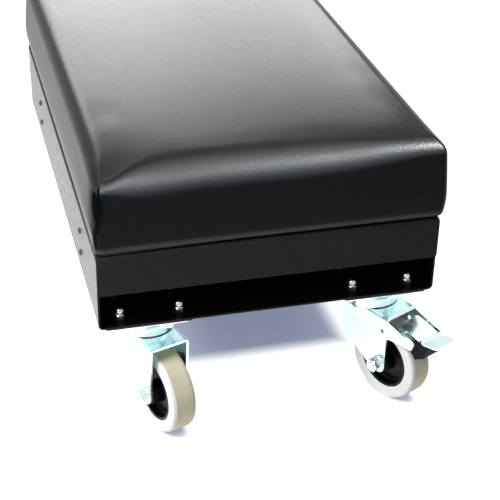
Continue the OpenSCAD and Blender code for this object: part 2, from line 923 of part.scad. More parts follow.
module pedal() {
    low = below(pedal_path, pedal_t);
    pedal_l = pedal_tip - pedal_front + 2 * pedal_t;
    color([0.84, 0.86, 0.88])
        difference() {
            union() {
                intersection() {
                    across(pedal_w)
                        polygon(concat(pedal_path, reversed(low)));
                    // The plate and the tongue have round corners
                    translate([(pedal_front + pedal_tip) / 2, -pedal_w / 2, pedal_z - 2 * pedal_w])
                        linear_extrude(3 * pedal_w)
                            round_rect(pedal_l, pedal_w, pedal_corner_r);
                }
                for (s = [-1, 1])
                    translate([0, s * (pedal_w - pedal_t) / 2, 0])
                        across(pedal_t)
                            polygon(outline([
                                [cheek_from, height_at(low[0], low[1], cheek_from) + pedal_t / 2, 0],
                                [cheek_from, cheek_low, 4],
                                [cheek_to, cheek_low, 5],
                                [low[1][0] - 3, low[1][1] + pedal_t / 2, 0]
                            ]));
            }
            translate([pin_back, 0, pin_z])
                rotate([90, 0, 0])
                    cylinder(r = pin_d / 2 + run_gap, h = 2 * pedal_w, center = true);
        }
}

// Rubber shoe under the pedal, shaped to the tyre where the pedal is pressed
module brake_shoe() {
    low = below(pedal_path, pedal_t);
    shoe_w = pedal_w - 2 * pedal_t - free_gap;
    wheel_seen = turned([trail, axle_z], [pin_back, pin_z], pedal_travel);
    color([0.05, 0.05, 0.05])
        difference() {
            across(shoe_w)
                polygon(outline([
                    [shoe_from, height_at(low[0], low[1], shoe_from), 0],
                    [shoe_from, pin_z - 20, 0],
                    [shoe_from + 12, pin_z - 24, 2],
                    [shoe_to - shoe_side, pin_z - 15, 4],
                    [shoe_to, pin_z - 4, 4],
                    [shoe_to, height_at(low[3], low[4], shoe_to), 0],
                    [low[3][0], low[3][1], 0],
                    [low[2][0], low[2][1], 0],
                    [low[1][0], low[1][1], 0]
                ]));
            translate([wheel_seen[0], 0, wheel_seen[1]])
                rotate([90, 0, 0])
                    cylinder(r = wheel_d / 2 + shoe_gap, h = 2 * pedal_w, center = true, $fn = 128);
        }
}

module pedal_pin() {
    color([0.7, 0.72, 0.74])
        translate([pin_back, 0, pin_z])
            rotate([90, 0, 0]) {
                cylinder(r = pin_d / 2, h = fork_w + 2 * pin_end, center = true);
                for (s = [-1, 1])
                    translate([0, 0, s * (fork_w + pin_rivet_t) / 2])
                        cylinder(r = 0.8 * pin_d, h = pin_rivet_t, center = true);
            }
}

body_shell();
deck();
cross_wall(-1);  // cross_wall_front
cross_wall(1);  // cross_wall_rear
seat_board();
cushion();
castor_pads();
castor_bolts();
castor_nuts();
wall_screws();
wall_nuts();
seat_screws();
kingpins();
at_mount(FL) mount_plate();  // mount_plate_fl
at_mount(FR) mount_plate();  // mount_plate_fr
at_mount(RL) mount_plate();  // mount_plate_rl
at_mount(RR) mount_plate();  // mount_plate_rr
at_mount(FL) upper_race();  // upper_race_fl
at_mount(FR) upper_race();  // upper_race_fr
at_mount(RL) upper_race();  // upper_race_rl
at_mount(RR) upper_race();  // upper_race_rr
at_mount(FL) lower_race();  // lower_race_fl
at_mount(FR) lower_race();  // lower_race_fr
at_mount(RL) lower_race();  // lower_race_rl
at_mount(RR) lower_race();  // lower_race_rr
at_castor(FL) balls();  // balls_fl
at_castor(FR) balls();  // balls_fr
at_castor(RL) balls();  // balls_rl
at_castor(RR) balls();  // balls_rr
at_castor(FL) fork(false);  // fork_fl
at_castor(FR) fork(true);  // fork_fr
at_castor(RL) fork(true);  // fork_rl
at_castor(RR) fork(false);  // fork_rr
at_axle(FL) axle_bolt();  // axle_bolt_fl
at_axle(FR) axle_bolt();  // axle_bolt_fr
at_axle(RL) axle_bolt();  // axle_bolt_rl
at_axle(RR) axle_bolt();  // axle_bolt_rr
at_axle(FL) axle_nut();  // axle_nut_fl
at_axle(FR) axle_nut();  // axle_nut_fr
at_axle(RL) axle_nut();  // axle_nut_rl
at_axle(RR) axle_nut();  // axle_nut_rr
at_axle(FL) axle_bush();  // axle_bush_fl
at_axle(FR) axle_bush();  // axle_bush_fr
at_axle(RL) axle_bush();  // axle_bush_rl
at_axle(RR) axle_bush();  // axle_bush_rr
at_axle(FL) wheel_core();  // wheel_core_fl
at_axle(FR) wheel_core();  // wheel_core_fr
at_axle(RL) wheel_core();  // wheel_core_rl
at_axle(RR) wheel_core();  // wheel_core_rr
at_axle(FL) tyre();  // tyre_fl
at_axle(FR) tyre();  // tyre_fr
at_axle(RL) tyre();  // tyre_rl
at_axle(RR) tyre();  // tyre_rr
at_castor(FR) pedal();  // pedal_fr
at_castor(RL) pedal();  // pedal_rl
at_castor(FR) brake_shoe();  // brake_shoe_fr
at_castor(RL) brake_shoe();  // brake_shoe_rl
at_castor(FR) pedal_pin();  // pedal_pin_fr
at_castor(RL) pedal_pin();  // pedal_pin_rl
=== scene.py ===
"""Looks of a low rolling workshop stool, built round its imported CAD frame.

Metres, +Z up, +Y to the rear end.
"""

import json
import math

import bmesh
import bpy
import numpy as np
from mathutils import Matrix, Vector
from mathutils.kdtree import KDTree


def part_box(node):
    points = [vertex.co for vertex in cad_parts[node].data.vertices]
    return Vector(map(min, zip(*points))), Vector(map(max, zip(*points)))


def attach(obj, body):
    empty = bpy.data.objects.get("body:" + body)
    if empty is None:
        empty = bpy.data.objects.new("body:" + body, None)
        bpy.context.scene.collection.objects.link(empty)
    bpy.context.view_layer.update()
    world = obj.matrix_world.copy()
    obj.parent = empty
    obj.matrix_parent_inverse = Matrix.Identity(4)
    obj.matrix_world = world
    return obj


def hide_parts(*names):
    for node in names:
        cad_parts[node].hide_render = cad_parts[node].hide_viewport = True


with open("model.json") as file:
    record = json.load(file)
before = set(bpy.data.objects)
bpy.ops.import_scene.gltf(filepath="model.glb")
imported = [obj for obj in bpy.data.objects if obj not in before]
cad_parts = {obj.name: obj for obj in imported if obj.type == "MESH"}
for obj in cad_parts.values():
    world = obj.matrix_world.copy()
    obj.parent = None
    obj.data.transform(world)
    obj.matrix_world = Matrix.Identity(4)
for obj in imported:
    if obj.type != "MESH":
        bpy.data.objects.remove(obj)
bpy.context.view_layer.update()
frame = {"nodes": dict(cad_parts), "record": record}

MM = 0.001

# Camera, from the photograph's perspective: place in metres, angles in degrees
CAMERA_PLACE = (-0.3222, -1.3649, 0.8649)
CAMERA_YAW = 15.36
CAMERA_PITCH = 30.52
CAMERA_ROLL = 1.37
LENS = 96.3
SENSOR = 36.0

# Stage: a white floor, with a painted shade for the camera that lies round a middle point by a half size
# along X and Y
FLOOR_SIZE = 12.0
FLOOR_COLOUR = (0.86, 0.87, 0.9)
SHADE_COLOUR = (0.17, 0.2, 0.3)
SHADE_MIDDLE = (0.0, 0.06)
SHADE_HALF = (0.105, 0.215)
SHADE_FADE = 0.03
# Painted contact shade: the floor's colour darkens where ambient occlusion within this reach finds something
# touching it
CONTACT_REACH = 0.022
CONTACT_FADE = (0.35, 0.4)
CONTACT_SAMPLES = 8
WORLD_FILL = 0.15

# Softboxes: direction from the target, distance, width, height, radiance and colour.
# A radiance of 1 is about that of the white floor.
LIGHT_TARGET = Vector((0.0, -0.1, 0.2))
WHITE = (1.0, 1.0, 1.0)
WINDOW_BLUE = (0.6, 0.78, 1.0)
LAMPS = {
    "key": ((-0.6, -0.4, 0.55), 0.91, 0.45, 0.4, 16, WHITE),
    "right": ((0.5, 0.27, 0.82), 1.5, 0.8, 0.6, 3, WHITE),
}
CUSHION_LAMPS = {
    "edge": ((0.183, -0.732, 0.7), 1.4, 1.37, 0.55, 4.2, WHITE),
    "edge_right": ((0.595, -0.465, 0.656), 1.4, 0.6, 0.4, 36, WHITE),
    "window": ((0.3, -0.9, 0.32), 1.4, 1.8, 0.7, 2, WINDOW_BLUE),
    "above": ((0, -0.15, 1), 1.6, 2.2, 1.5, 2, WHITE),
    "back_low": ((0.02, 0.94, 0.33), 2.2, 2.1, 0.46, 15, WHITE),
    "back_high": ((-0.25, 0.6, 0.8), 2.2, 2.8, 2.6, 4, WHITE),
}

# Tyres: where the tread ends on either side of the wheel's middle plane, and how softly. The reach is a
# little more than a wheel's radius, so that each wheel colours its own tyre alone.
TREAD_START = -9 * MM
TREAD_END = 11.6 * MM
TREAD_BLEND = 0.8 * MM
WHEEL_REACH = 0.05

# Box round the tray's inside, where the sheet's gloss is turned down so that the recess shows dark: painted
# shade
TRAY_LOW = (-0.1735, -0.2742, 0.1275)
TRAY_HIGH = (0.1735, 0.2742, 0.215)

# Cushion: it sits a little to the right on the tray, and its front-left corner is the tight one
CUSHION_SHIFT = 2 * MM
CORNER_R = 4.5 * MM
BELLY = 4.5 * MM
BELLY_SHAPE = 0.7
CROWN = 4 * MM
CROWN_SHAPE = (2.6, 3.4)

# Its upper edges, and how far the corners pinch them
END_EDGE_R = 30 * MM
SIDE_EDGE_R = 19 * MM
EDGE_R_AT_CORNER = 16 * MM
EDGE_R_AT_TIGHT = 9 * MM
PINCH_REACH = 80 * MM
TIGHT_PINCH_REACH = 30 * MM

# How much lower the top is at the corners
CORNER_DROP = 2 * MM
TIGHT_CORNER_DROP = 7.5 * MM
DROP_REACH = 58 * MM
EAR_DROP = 7.5 * MM
EAR_REACH = 29 * MM

# Roll along the foot, and how it sags near the tight corner
FOOT_R = 6 * MM
SIDE_FOOT_R = 3 * MM
FOOT_SAG = 3.5 * MM
SAG_REACH = 90 * MM
SAG_HEIGHT = 4 * FOOT_R

# Polish over the rounded edge, from 0 at its foot to 1 at its top: how fast it comes, where it ends and how
# fast it goes
POLISH_RISE = 2
POLISH_END = 0.85
POLISH_FALL = 2.5

# Rings of points: insets of the two on the underside, then steps up the foot, side, edge and top
UNDER_INSETS = (30 * MM, 18 * MM)
FOOT_STEPS = 8
SIDE_STEPS = 30
EDGE_STEPS = 20
TOP_RINGS = 30
TOP_CROWDING = 1.3

# Points along each ring: steps round a corner, on the stretch beside it and along the rest of a side
ARC_STEPS = 40
NEAR_STEPS = 24
FAR_STEPS = 26
NEAR_LENGTH = 26 * MM
NEAR_CROWDING = 1.25

# Folds at the corners. Spans and starts are shares of the cushion's height, and fades are how fast something
# comes and goes at the two ends of its span.
FOLD_DEPTH = 5 * MM
FOLD_HALF = 3.6 * MM
FOLD_ELSEWHERE = 0.05
FOLD_START = 0.32
FOLD_LENGTH = 0.65
FOLD_FULLNESS = 0.6
FOLD_CLOSED = 0.25
GROOVE_SHAPE = 0.8
CREASE_DEPTH = 1.4 * MM
CREASE_SPAN = (0.04, 0.97)
CREASE_FADES = (14, 12)
LIP_HEIGHT = 0.6 * MM
LIP_HALF = 1.2 * MM
HOLLOW_DEPTH = 6 * MM
HOLLOW_REACH = 34 * MM
HOLLOW_SHAPE = 1.4
# Painted shade of the folds: how far the darkened colour and turned-down gloss reach along the long sides and
# along the ends, and the least share of that reach
FOLD_SHADE = (25 * MM, 5.5 * MM)
FOLD_SHADE_LEAST = 0.2
# Painted reflection: the span up the height where the foot is painted lighter to stand in for the floor's
# mirrored light, and its fades
PAINTED_FOOT_LIGHT_SPAN = (0.02, 0.13)
PAINTED_FOOT_LIGHT_FADES = (30, 14)

# Cloth simulation on a coarse copy, and how its points move the cover's
CLOTH_VOXEL = 10 * MM
CLOTH_HELD = 3 * FOOT_R
CLOTH_PRESSURE = 4
CLOTH_QUALITY = 5
CLOTH_STIFFNESS = 40
CLOTH_BENDING = 4
CLOTH_FRAMES = 20
CLOTH_MOVE = 2 * MM
CLOTH_SPREAD = 15 * MM
CLOTH_NEAR = 80


# Material helpers

def calc(tree, operation, first, second=0.0):
    """A math node on two outputs or numbers."""
    node = tree.nodes.new("ShaderNodeMath")
    node.operation = operation
    for socket, value in zip(node.inputs, (first, second)):
        if isinstance(value, float):
            socket.default_value = value
        else:
            tree.links.new(value, socket)
    return node.outputs[0]


class Shader:
    """A material with one Principled BSDF, and short calls for the nodes that feed it."""

    def __init__(self, name, **sockets):
        self.material = bpy.data.materials.new(name)
        self.material.use_nodes = True
        self.tree = self.material.node_tree
        self.bsdf = self.tree.nodes["Principled BSDF"]
        for socket, value in sockets.items():
            self.set(socket, value)

    def set(self, socket, value):
        target = self.bsdf.inputs[socket.replace("_", " ")]
        target.default_value = (*value, 1.0) if isinstance(value, tuple) else value

    def add(self, kind, **settings):
        node = self.tree.nodes.new(kind)
        for key, value in settings.items():
            setattr(node, key, value)
        return node

    def link(self, source, target):
        self.tree.links.new(source, target)

    def place(self, stretch=(1, 1, 1), turn=(0, 0, 0)):
        """Object coordinates, stretched and turned."""
        mapping = self.add("ShaderNodeMapping")
        mapping.inputs["Scale"].default_value = stretch
        mapping.inputs["Rotation"].default_value = turn
        self.link(self.add("ShaderNodeTexCoord").outputs["Object"], mapping.inputs["Vector"])
        return mapping.outputs["Vector"]

    def noise(self, scale, detail=2.0, rough=0.5, place=None):
        node = self.add("ShaderNodeTexNoise")
        node.inputs["Scale"].default_value = scale
        node.inputs["Detail"].default_value = detail
        node.inputs["Roughness"].default_value = rough
        self.link(place or self.place(), node.inputs["Vector"])
        return node.outputs["Fac"]

    def cells(self, scale):
        """Small rounded cells, like the grain of leatherette."""
        node = self.add("ShaderNodeTexVoronoi", feature="SMOOTH_F1")
        node.inputs["Scale"].default_value = scale
        self.link(self.place(), node.inputs["Vector"])
        return node.outputs["Distance"]

    def spread(self, value, low, high, low_in=0.3, high_in=0.7):
        """Maps a value from its usual span to low and high."""
        node = self.add("ShaderNodeMapRange")
        for socket, number in zip(("From Min", "From Max", "To Min", "To Max"), (low_in, high_in, low, high)):
            node.inputs[socket].default_value = number
        self.link(value, node.inputs["Value"])
        return node.outputs["Result"]

    def mix(self, value, low, high):
        """Colour between low and high, each a colour or another node's output."""
        node = self.add("ShaderNodeMix", data_type="RGBA")
        self.link(value, node.inputs["Factor"])
        for socket, colour in ((node.inputs[6], low), (node.inputs[7], high)):
            if isinstance(colour, tuple):
                socket.default_value = (*colour, 1.0)
            else:
                self.link(colour, socket)
        return node.outputs[2]

    def vector(self, operation, first, second=None):
        """A vector math node on two outputs or numbers."""
        node = self.add("ShaderNodeVectorMath", operation=operation)
        for socket, value in zip(node.inputs, (first, second)):
            if isinstance(value, tuple):
                socket.default_value = value
            elif value is not None:
                self.link(value, socket)
        return node.outputs["Value" if operation in ("DOT_PRODUCT", "LENGTH") else "Vector"]

    def within(self, low, high):
        """1 inside a box, else 0."""
        middle = tuple((a + b) / 2 for a, b in zip(low, high))
        half = tuple((b - a) / 2 for a, b in zip(low, high))
        away = self.vector("ABSOLUTE", self.vector("SUBTRACT", self.place(), middle))
        over = self.add("ShaderNodeSeparateXYZ")
        self.link(self.vector("SUBTRACT", away, half), over.inputs[0])
        worst = over.outputs[0]
        for axis in (1, 2):
            worst = self.maths("MAXIMUM", worst, over.outputs[axis])
        return self.maths("LESS_THAN", worst, 0.0)

    def maths(self, operation, first, second=0.0):
        return calc(self.tree, operation, first, second)

    def attribute(self, name):
        """A number that the mesh carries at each of its points."""
        return self.add("ShaderNodeAttribute", attribute_name=name).outputs["Fac"]

    def bump(self, height, strength, distance):
        node = self.add("ShaderNodeBump")
        node.inputs["Strength"].default_value = strength
        node.inputs["Distance"].default_value = distance
        self.link(height, node.inputs["Height"])
        return node.outputs["Normal"]

    def feed(self, socket, output):
        self.link(output, self.bsdf.inputs[socket])


# Materials, one function for each slot of the record. Noise scales are cycles per metre.

def leatherette():
    s = Shader("leatherette", IOR=1.13, Coat_Roughness=0.27)
    fine = s.noise(700, 1)
    colour = s.mix(fine, (0.005, 0.006, 0.0072), (0.0068, 0.0077, 0.009))
    # Painted reflection: a lighter band along the foot stands in for the floor's light mirrored there
    painted_foot_light = s.mix(s.attribute("foot"), colour, (0.065, 0.063, 0.065))
    # Painted shade: points in the folds get a darker colour and lose their gloss
    s.feed("Base Color", s.mix(s.attribute("fold"), painted_foot_light, (0.0045, 0.004, 0.0038)))
    s.feed("Roughness", s.spread(fine, 0.27, 0.29))
    s.feed("Specular IOR Level", s.spread(s.attribute("fold"), 0.5, 0.0, 0.0, 0.8))
    s.feed("Normal", s.bump(s.cells(1000), 0.4, 0.16 * MM))
    s.feed("Coat Weight", s.attribute("polish"))
    s.feed("Coat Normal", s.bump(s.noise(600, 1), 0.8, 0.3 * MM))
    return s.material


def gloss_black_sheet():
    s = Shader("gloss_black_sheet", IOR=1.2)
    tone = s.spread(s.noise(9, 3), 0.0, 1.0)
    s.feed("Base Color", s.mix(tone, (0.0016, 0.0016, 0.0018), (0.0026, 0.0026, 0.0028)))
    s.feed("Roughness", s.spread(s.noise(120, 5), 0.2, 0.27))
    # Painted shade: the gloss is turned down inside the tray so that the recess shows dark
    s.feed("Specular IOR Level", s.spread(s.within(TRAY_LOW, TRAY_HIGH), 0.5, 0.08, 0.0, 1.0))
    s.feed("Normal", s.bump(s.noise(420, 2), 0.06, 0.05 * MM))
    return s.material


def matt_grey_sheet():
    s = Shader("matt_grey_sheet", IOR=1.13)
    tone = s.spread(s.noise(30, 4), 0.0, 1.0)
    s.feed("Base Color", s.mix(tone, (0.0165, 0.0164, 0.0174), (0.0195, 0.0193, 0.0204)))
    s.feed("Roughness", s.spread(s.noise(200, 5), 0.42, 0.52))
    s.feed("Normal", s.bump(s.noise(1400, 3), 0.3, 0.08 * MM))
    return s.material


def plywood():
    s = Shader("plywood", IOR=1.45)
    along = s.place((14, 1.2, 14))
    s.feed("Base Color", s.mix(s.noise(30, 6, 0.6, along), (0.33, 0.22, 0.12), (0.5, 0.37, 0.22)))
    s.feed("Roughness", s.spread(s.noise(90, 4), 0.6, 0.75))
    s.feed("Normal", s.bump(s.noise(60, 5, 0.6, along), 0.3, 0.2 * MM))
    return s.material


def black_pad():
    s = Shader("black_pad", IOR=1.45)
    s.feed("Base Color", s.mix(s.noise(80, 3), (0.014, 0.014, 0.015), (0.022, 0.022, 0.022)))
    s.feed("Roughness", s.spread(s.noise(150, 4), 0.55, 0.7))
    s.feed("Normal", s.bump(s.noise(1500, 3), 0.3, 0.1 * MM))
    return s.material


def metal(name, dark, light, rough, scratch=0.08, tint_scale=25, metallic=1.0):
    """Plated or ground steel: cloudy tint, uneven gloss and fine scratches."""
    s = Shader(name, Metallic=metallic)
    s.feed("Base Color", s.mix(s.spread(s.noise(tint_scale, 4), 0.0, 1.0), dark, light))
    s.feed("Roughness", s.spread(s.noise(160, 6, 0.65), rough * 0.8, rough * 1.25))
    lines = s.noise(380, 4, 0.6, s.place((1, 9, 9), (0.3, 0.2, 0.6)))
    s.feed("Normal", s.bump(lines, scratch, 0.05 * MM))
    return s.material


def zinc_sheet():
    return metal("zinc_sheet", (0.66, 0.89, 0.91), (0.86, 0.98, 0.98), 0.2, 0.04, 18)


def zinc_fastener():
    return metal("zinc_fastener", (0.62, 0.74, 0.76), (0.82, 0.9, 0.9), 0.24, 0.05, metallic=0.9)


def cap_nut_steel():
    return metal("cap_nut_steel", (0.42, 0.41, 0.4), (0.55, 0.54, 0.53), 0.24, 0.04)


def bearing_steel():
    return metal("bearing_steel", (0.6, 0.6, 0.61), (0.72, 0.72, 0.73), 0.2)


def black_screw():
    s = Shader("black_screw", IOR=1.45)
    s.feed("Base Color", s.mix(s.noise(200, 3), (0.05, 0.05, 0.05), (0.08, 0.08, 0.08)))
    s.feed("Roughness", s.spread(s.noise(300, 4), 0.3, 0.4))
    s.feed("Normal", s.bump(s.noise(1800, 2), 0.15, 0.05 * MM))
    return s.material


def core_plastic():
    s = Shader("core_plastic", IOR=1.22)
    s.feed("Base Color", s.mix(s.noise(120, 3), (0.0016, 0.0016, 0.002), (0.003, 0.003, 0.0035)))
    s.feed("Roughness", s.spread(s.noise(260, 4), 0.34, 0.46))
    s.feed("Normal", s.bump(s.noise(1600, 3), 0.2, 0.06 * MM))
    return s.material


def tyre_rubber():
    """Pale sides and a darker, yellower tread, placed by each wheel's joint in the record."""
    s = Shader("tyre_rubber", IOR=1.4)
    cloud = s.spread(s.noise(45, 5), 0.0, 1.0)
    side = s.mix(cloud, (0.82, 0.81, 0.83), (0.9, 0.89, 0.9))
    tread = s.mix(cloud, (0.58, 0.53, 0.37), (0.74, 0.69, 0.5))
    aside = 0.0
    for joint in frame["record"]["behaviour"]["joints"]:
        if not joint["name"].startswith("wheel_spin"):
            continue
        from_axle = s.vector("SUBTRACT", s.place(), tuple(joint["pos_m"]))
        out = s.vector("DOT_PRODUCT", from_axle, tuple(joint["axis"]))
        over = s.maths("MAXIMUM", s.maths("SUBTRACT", TREAD_START, out), s.maths("SUBTRACT", out, TREAD_END))
        here = s.maths("LESS_THAN", s.vector("LENGTH", from_axle), WHEEL_REACH)
        aside = s.maths("MAXIMUM", s.maths("MULTIPLY", over, here), aside)
    edge = s.spread(aside, 0.0, 1.0, 0.0, TREAD_BLEND)
    s.feed("Base Color", s.mix(edge, tread, side))
    s.feed("Roughness", s.spread(s.noise(180, 4), 0.48, 0.62))
    s.feed("Normal", s.bump(s.noise(900, 3), 0.2, 0.12 * MM))
    return s.material


def brake_rubber():
    s = Shader("brake_rubber", IOR=1.2)
    s.feed("Base Color", s.mix(s.noise(90, 3), (0.002, 0.002, 0.002), (0.005, 0.005, 0.005)))
    s.feed("Roughness", s.spread(s.noise(220, 4), 0.5, 0.65))
    s.feed("Normal", s.bump(s.noise(1200, 3), 0.3, 0.1 * MM))
    return s.material


MATERIALS = {
    make.__name__: make()
    for make in (
        leatherette, gloss_black_sheet, matt_grey_sheet, plywood, black_pad, zinc_sheet, zinc_fastener,
        cap_nut_steel, bearing_steel, black_screw, core_plastic, tyre_rubber, brake_rubber,
    )
}


def dress_cad_nodes():
    """Every CAD node gets the material of its slot in the record."""
    for part in frame["record"]["subparts"]:
        node = frame["nodes"][part["node"]]
        node.data.materials.clear()
        node.data.materials.append(MATERIALS[part["material_slot"]])


# Cushion

def smooth_step(t):
    t = np.clip(t, 0.0, 1.0)
    return t * t * (3 - 2 * t)


def span(value, ends, fades):
    """Near 1 between two ends, and fading to 0 at each of them."""
    return smooth_step((ends[1] - value) * fades[1]) * smooth_step((value - ends[0]) * fades[0])


def perimeter(low, high, r):
    """Points of a round-cornered rectangle, their outward normals and their distance from the nearest
    corner's middle, which is below 0 on the long sides. They lie closest together at the corners."""
    quarter = r * math.pi / 4
    middle = (low + high)[:2] / 2
    half = (high - low)[:2] / 2 - r
    points, normals, reach = [], [], []
    corners = [(1, 1, 0.0), (-1, 1, 90.0), (-1, -1, 180.0), (1, -1, 270.0)]
    for k, (sx, sy, start) in enumerate(corners):
        turn = 1 if k % 2 == 0 else -1
        for i in range(ARC_STEPS + 1):
            a = math.radians(start + 90.0 * i / ARC_STEPS)
            out = np.array([math.cos(a), math.sin(a)])
            points.append(middle + half * (sx, sy) + r * out)
            normals.append(out)
            reach.append((2 * i / ARC_STEPS - 1) * quarter * turn)
        first = points[-1]
        last = middle + half * corners[(k + 1) % 4][:2] + r * out
        length = np.linalg.norm(last - first)
        steps = [NEAR_LENGTH * (i / NEAR_STEPS) ** NEAR_CROWDING for i in range(1, NEAR_STEPS + 1)]
        far = length - 2 * NEAR_LENGTH
        between = [NEAR_LENGTH + far * i / FAR_STEPS for i in range(1, FAR_STEPS)]
        for s in steps + between + [length - s for s in reversed(steps)]:
            points.append(first + (last - first) * s / length)
            normals.append(out)
            reach.append((quarter + min(s, length - s)) * turn)
    return np.array(points), np.array(normals), np.array(reach)


def tight(places, middle):
    """True for the quarter of the cushion with the tight corner."""
    return (places[:, 0] < middle[0]) & (places[:, 1] < middle[1])


def corner_drop(places, low, high):
    """How far the cover's top hangs below its edge level: most at the corners, and more at the tight one."""
    middle = (low + high) / 2
    gap = (high - low)[:2] / 2 - np.abs(places[:, :2] - middle[:2])
    away = (gap**2).sum(axis=1)
    fall = np.exp(-away / DROP_REACH**2)
    ear = EAR_DROP * np.exp(-away / EAR_REACH**2)
    return np.where(tight(places, middle), TIGHT_CORNER_DROP * fall + ear, CORNER_DROP * fall)


def cushion_rings(low, high, outline, out, reach):
    """Rings of the cushion from its underside over foot, side and rounded edge to the crown, and how polished
    each point is, which is most on the rounded edges of the two ends."""
    middle = (low + high) / 2
    hx, hy = (high - low)[:2] / 2
    z_low = low[2]
    z_edge = high[2] - CROWN
    height = z_edge - z_low
    is_tight = tight(outline, middle)
    pinch = np.exp(-((reach / np.where(is_tight, TIGHT_PINCH_REACH, PINCH_REACH)) ** 2))
    corner_r = np.where(is_tight, EDGE_R_AT_TIGHT, EDGE_R_AT_CORNER)
    free_r = (SIDE_EDGE_R, END_EDGE_R)
    edge_r = np.array([free + (np.minimum(corner_r, free) - free) * pinch for free in free_r]).T
    edge_h = (edge_r * out**2).sum(axis=1)
    drop = corner_drop(outline, low, high)
    ones = np.ones(len(outline))
    rings, polish = [], []

    def add_ring(inset, z, shine=0.0):
        """A ring that lies a way inside the outline, given for the long sides and the ends."""
        swell = BELLY * np.sin(np.pi * np.clip((z - z_low) / height, 0, 1) ** BELLY_SHAPE)
        shrunk = (outline - middle[:2]) * (1 - inset / (hx, hy))
        rings.append(np.column_stack([middle[:2] + shrunk + out * swell[:, None], z]))
        polish.append(shine * out[:, 1] ** 2)

    foot_r = np.array([SIDE_FOOT_R, FOOT_R])
    for inset in UNDER_INSETS:
        add_ring(np.array([inset, inset]), z_low * ones)
    for i in range(FOOT_STEPS + 1):
        a = math.radians(90 * i / FOOT_STEPS)
        add_ring(foot_r * (1 - math.sin(a)), z_low + FOOT_R * (1 - math.cos(a)) * ones)
    start = z_low + FOOT_R
    for i in range(1, SIDE_STEPS):
        add_ring(np.zeros(2), start + (z_edge - drop - edge_h - start) * i / SIDE_STEPS)
    for i in range(EDGE_STEPS + 1):
        a = math.radians(90 * i / EDGE_STEPS)
        inset = edge_r * (1 - math.cos(a))
        inner = middle[:2] + (outline - middle[:2]) * (1 - inset / (hx, hy))
        up = i / EDGE_STEPS
        shine = smooth_step(up * POLISH_RISE) * smooth_step((POLISH_END - up) * POLISH_FALL)
        add_ring(inset, z_edge - corner_drop(inner, low, high) - edge_h * (1 - math.sin(a)), shine)
    last = rings[-1]
    ridge = np.column_stack([middle[0] * ones, np.clip(last[:, 1], hx - hy, hy - hx), z_edge * ones])
    for i in range(1, TOP_RINGS):
        ring = last + (ridge - last) * (i / TOP_RINGS) ** TOP_CROWDING
        ring[:, 2] = z_edge - corner_drop(ring, low, high)
        rings.append(ring)
        polish.append(0 * ones)
    rings = np.array(rings)

    x = np.clip(np.abs(rings[:, :, 0] - middle[0]) / hx, 0, 1)
    y = np.clip(np.abs(rings[:, :, 1]) / hy, 0, 1)
    upper = smooth_step((rings[:, :, 2] - z_low) / height)
    rings[:, :, 2] += CROWN * (1 - x ** CROWN_SHAPE[0]) * (1 - y ** CROWN_SHAPE[1]) * upper
    away = np.linalg.norm(outline - low[:2], axis=1)
    lower = smooth_step((z_low + SAG_HEIGHT - rings[:, :, 2]) / SAG_HEIGHT)
    rings[:, :, 2] -= FOOT_SAG * np.exp(-((away / SAG_REACH) ** 2)) * lower
    return rings, np.array(polish)


def add_folds(rings, low, high, outline, reach):
    """Along each upright corner, a fold that gapes in the upper half and closes to a crease with a lip below.
    Returns how much painted shade each point gets from the folds, and how much it belongs to the painted
    lighter band near the foot, which stands in for the floor's light mirrored there."""
    top = rings[-TOP_RINGS, :, 2]
    rise = (rings[:, :, 2] - low[2]) / (top - low[2])
    rise[-TOP_RINGS:] = 1.0
    gape = np.where(tight(outline, (low + high) / 2), 1.0, FOLD_ELSEWHERE)
    lens = gape * np.sin(np.pi * np.clip((rise - FOLD_START) / FOLD_LENGTH, 0, 1)) ** FOLD_FULLNESS
    crease = gape * span(rise, CREASE_SPAN, CREASE_FADES)
    side = np.abs(reach)[None, :]
    half = FOLD_HALF * (FOLD_CLOSED + (1 - FOLD_CLOSED) * lens)
    groove = np.clip(1 - side / half, 0, 1) ** GROOVE_SHAPE
    lip = np.clip(1 - np.abs(reach[None, :] - FOLD_HALF - LIP_HALF) / LIP_HALF, 0, 1)
    inward = (FOLD_DEPTH * lens + CREASE_DEPTH * crease) * groove - LIP_HEIGHT * crease * smooth_step(lip)
    diagonal = np.sign(outline - (low + high)[:2] / 2) / math.sqrt(2)
    rings[:, :, :2] -= diagonal[None, :, :] * inward[:, :, None]
    hollow = HOLLOW_DEPTH * lens * np.clip(1 - side / HOLLOW_REACH, 0, 1) ** HOLLOW_SHAPE * (reach < 0)
    rings[:, :, 0] -= np.sign(outline[:, 0] - (low + high)[0] / 2) * hollow
    # Painted shade: how dark each point is painted from the folds, reaching further back along the long sides
    shade = np.where(reach < 0, *FOLD_SHADE) * np.maximum(lens, FOLD_SHADE_LEAST)
    fold = np.clip(lens * np.exp(-((side / shade) ** 4)) + crease * groove, 0, 1)
    return fold, span(rise, PAINTED_FOOT_LIGHT_SPAN, PAINTED_FOOT_LIGHT_FADES)


def ring_mesh(name, rings):
    n = rings.shape[1]
    faces = [
        (j * n + i, j * n + (i + 1) % n, (j + 1) * n + (i + 1) % n, (j + 1) * n + i)
        for j in range(len(rings) - 1)
        for i in range(n)
    ]
    faces.append(tuple(range(n - 1, -1, -1)))
    mesh = bpy.data.meshes.new(name)
    mesh.from_pydata(rings.reshape(-1, 3).tolist(), [], faces)
    bm = bmesh.new()
    bm.from_mesh(mesh)
    bmesh.ops.holes_fill(bm, edges=[e for e in bm.edges if e.is_boundary], sides=0)
    bmesh.ops.recalc_face_normals(bm, faces=bm.faces)
    bm.to_mesh(mesh)
    bm.free()
    mesh.polygons.foreach_set("use_smooth", [True] * len(mesh.polygons))
    return mesh


def store(mesh, name, values):
    """Keeps one number for each point of the rings with the mesh."""
    layer = mesh.attributes.new(name, "FLOAT", "POINT")
    layer.data.foreach_set("value", np.resize(values, len(mesh.vertices)).astype(np.float32))


